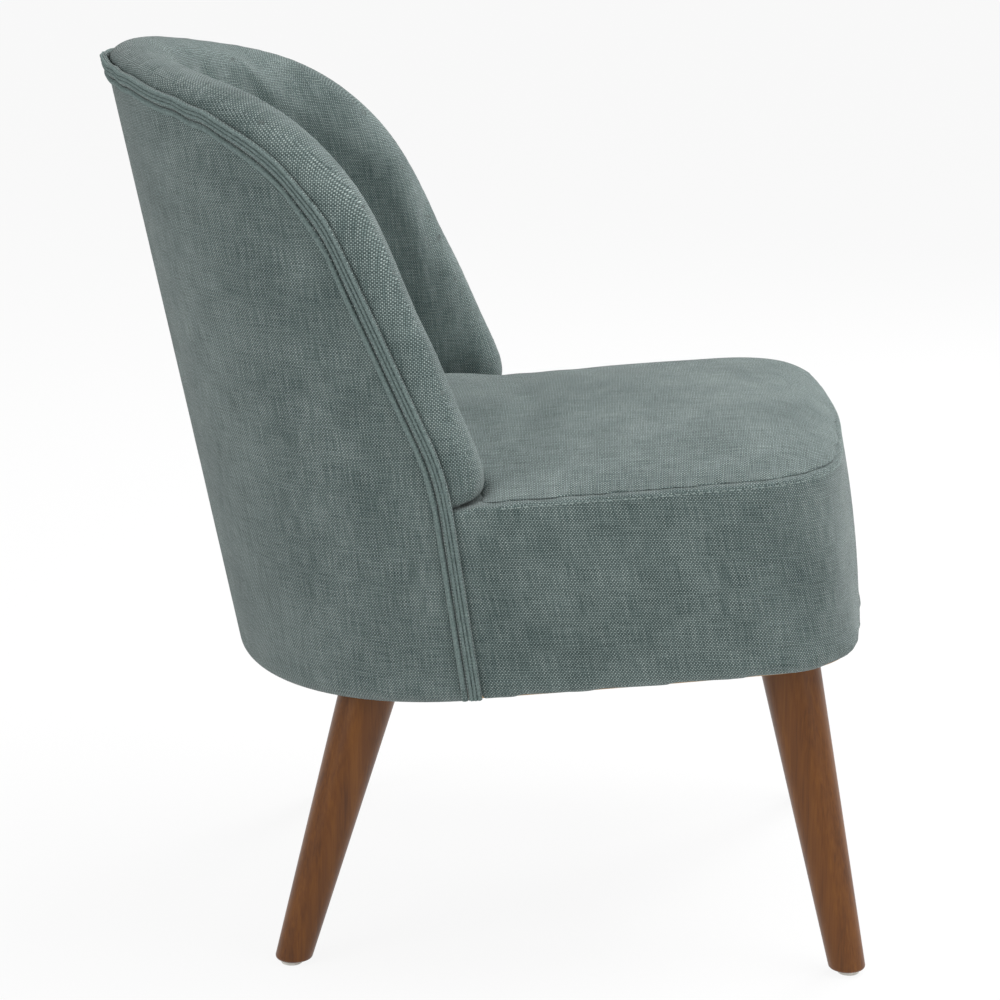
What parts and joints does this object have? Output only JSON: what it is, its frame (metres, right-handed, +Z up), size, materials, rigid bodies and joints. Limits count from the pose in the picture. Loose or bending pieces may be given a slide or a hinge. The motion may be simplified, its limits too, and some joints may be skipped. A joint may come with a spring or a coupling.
{
  "type": "barrel-back lounge chair",
  "caption": "Low upholstered lounge chair: half-barrel back sloping into low wings, crowned tight seat, welted outside back, round splayed wooden legs.",
  "frame": {"origin": "on the floor under the centre of the bounding box", "axes": "+Z up, -Y to the front of the chair, +X to the sitter's left"},
  "size_m": [0.5488, 0.6648, 0.7677],
  "materials": {
    "woven_fabric": "matt basket weave",
    "foam": "open-cell foam",
    "wadding": "soft fibre",
    "felt": "needled felt",
    "webbing": "elastic strap",
    "black_lining": "non-woven lining",
    "frame_wood": "sawn, unfinished",
    "leg_wood": "satin walnut stain",
    "fibreboard": "raw board",
    "glide_plastic": "translucent satin",
    "steel": "zinc plated"
  },
  "bodies": {
    "root": {"front_rail": "frame_wood", "left_side_rail": "frame_wood", "right_side_rail": "frame_wood", "rear_hoop": "frame_wood", "frame_dowels": "frame_wood", "back_bow": "frame_wood", "lower_back_band": "frame_wood", "upper_back_band": "frame_wood", "back_slat_1": "frame_wood", "back_slat_2": "frame_wood", "back_slat_3": "frame_wood", "back_slat_4": "frame_wood", "back_slat_5": "frame_wood", "back_webbing": "webbing", "front_left_leg": "leg_wood", "front_left_glide": "glide_plastic", "front_left_corner_block": "frame_wood", "front_right_leg": "leg_wood", "front_right_glide": "glide_plastic", "front_right_corner_block": "frame_wood", "rear_left_leg": "leg_wood", "rear_left_glide": "glide_plastic", "rear_left_corner_block": "frame_wood", "rear_right_leg": "leg_wood", "rear_right_glide": "glide_plastic", "rear_right_corner_block": "frame_wood", "hanger_bolts": "steel", "tee_nuts": "steel", "seat_webbing_lengthwise": "webbing", "seat_webbing_crosswise": "webbing", "seat_insulator": "felt", "seat_foam": "foam", "boxing_wadding": "wadding", "seat_top_cover": "woven_fabric", "seat_boxing_cover": "woven_fabric", "dust_cover": "black_lining", "inside_back_foam": "foam", "inside_back_cover": "woven_fabric", "outside_back_wadding": "wadding", "outside_back_board": "fibreboard", "outside_back_cover": "woven_fabric", "welt_cord": "woven_fabric", "welt_fold": "woven_fabric"}
  },
  "joints": []
}
